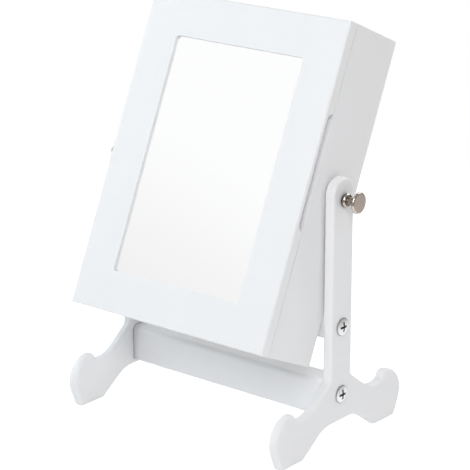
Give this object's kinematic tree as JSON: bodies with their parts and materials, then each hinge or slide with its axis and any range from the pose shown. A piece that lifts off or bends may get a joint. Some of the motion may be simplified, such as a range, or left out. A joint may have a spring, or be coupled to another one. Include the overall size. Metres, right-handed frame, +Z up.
{
  "type": "tabletop cheval mirror cabinet",
  "caption": "Tilting mirror cabinet between two scroll-footed side frames: a mirrored door opens on a lined jewellery cabinet, and turned knobs clamp its lean.",
  "frame": {"origin": "on the floor, under the middle of the whole object at rest", "axes": "+Z up; the mirror faces -Y and leans back towards +Y; +X is to the right of a person who looks into the mirror"},
  "size_m": [0.2524, 0.1726, 0.3412],
  "materials": {
    "white_paint": "satin white paint on fibreboard",
    "white_back": "white painted hardboard",
    "nickel": "polished nickel plate",
    "zinc": "zinc plate",
    "brass": "bright brass",
    "velvet": "short-pile velvet over board or foam",
    "mirror": "silvered float glass",
    "beech": "bare turned beech",
    "nylon": "plain nylon",
    "catch_plastic": "moulded white plastic",
    "magnet": "bare ferrite"
  },
  "bodies": {
    "stand": {"left_frame": "white_paint", "right_frame": "white_paint", "lower_rail": "white_paint", "upper_rail": "white_paint", "rail_bolts": "nickel", "barrel_nuts": "zinc", "rail_dowels": "beech", "pivot_washers": "nylon"},
    "cabinet": {"cabinet_left": "white_paint", "cabinet_right": "white_paint", "cabinet_top": "white_paint", "cabinet_bottom": "white_paint", "cabinet_back": "white_back", "back_screws": "zinc", "back_lining": "velvet", "thread_inserts": "brass", "necklace_rail_bar": "white_paint", "necklace_hooks": "brass", "ring_shelf": "white_paint", "ring_shelf_lip": "white_paint", "ring_rolls": "velvet", "bin_lip": "white_paint", "bin_dividers": "white_paint", "bin_lining": "velvet", "magnet_catch": "catch_plastic", "catch_magnet": "magnet", "catch_screws": "zinc", "cabinet_leaves": "nickel", "hinge_pins": "nickel", "cabinet_leaf_screws": "zinc"},
    "door": {"door_frame": "white_paint", "mirror_glass": "mirror", "door_backing": "velvet", "backing_screws": "zinc", "earring_bars": "nickel", "earring_screws": "zinc", "strike_plate": "nickel", "strike_screws": "zinc", "door_leaves": "nickel", "door_leaf_screws": "zinc"},
    "knob_left": {"left_knob": "nickel"},
    "knob_right": {"right_knob": "nickel"}
  },
  "joints": [
    {"name": "cabinet_tilt", "type": "hinge", "parent": "stand", "child": "cabinet", "pos_m": [0, 0.00233, 0.20449], "axis": [-1, 0, 0], "range_deg": [0, 131.5]},
    {"name": "door_swing", "type": "hinge", "parent": "cabinet", "child": "door", "pos_m": [-0.1022, -0.02306, 0.21593], "axis": [0, -0.4107, -0.9118], "range_deg": [0, 120]},
    {"name": "left_knob_turn", "type": "hinge", "parent": "cabinet", "child": "knob_left", "pos_m": [0, 0.00233, 0.20449], "axis": [-1, 0, 0], "continuous": true},
    {"name": "right_knob_turn", "type": "hinge", "parent": "cabinet", "child": "knob_right", "pos_m": [0, 0.00233, 0.20449], "axis": [1, 0, 0], "continuous": true}
  ]
}
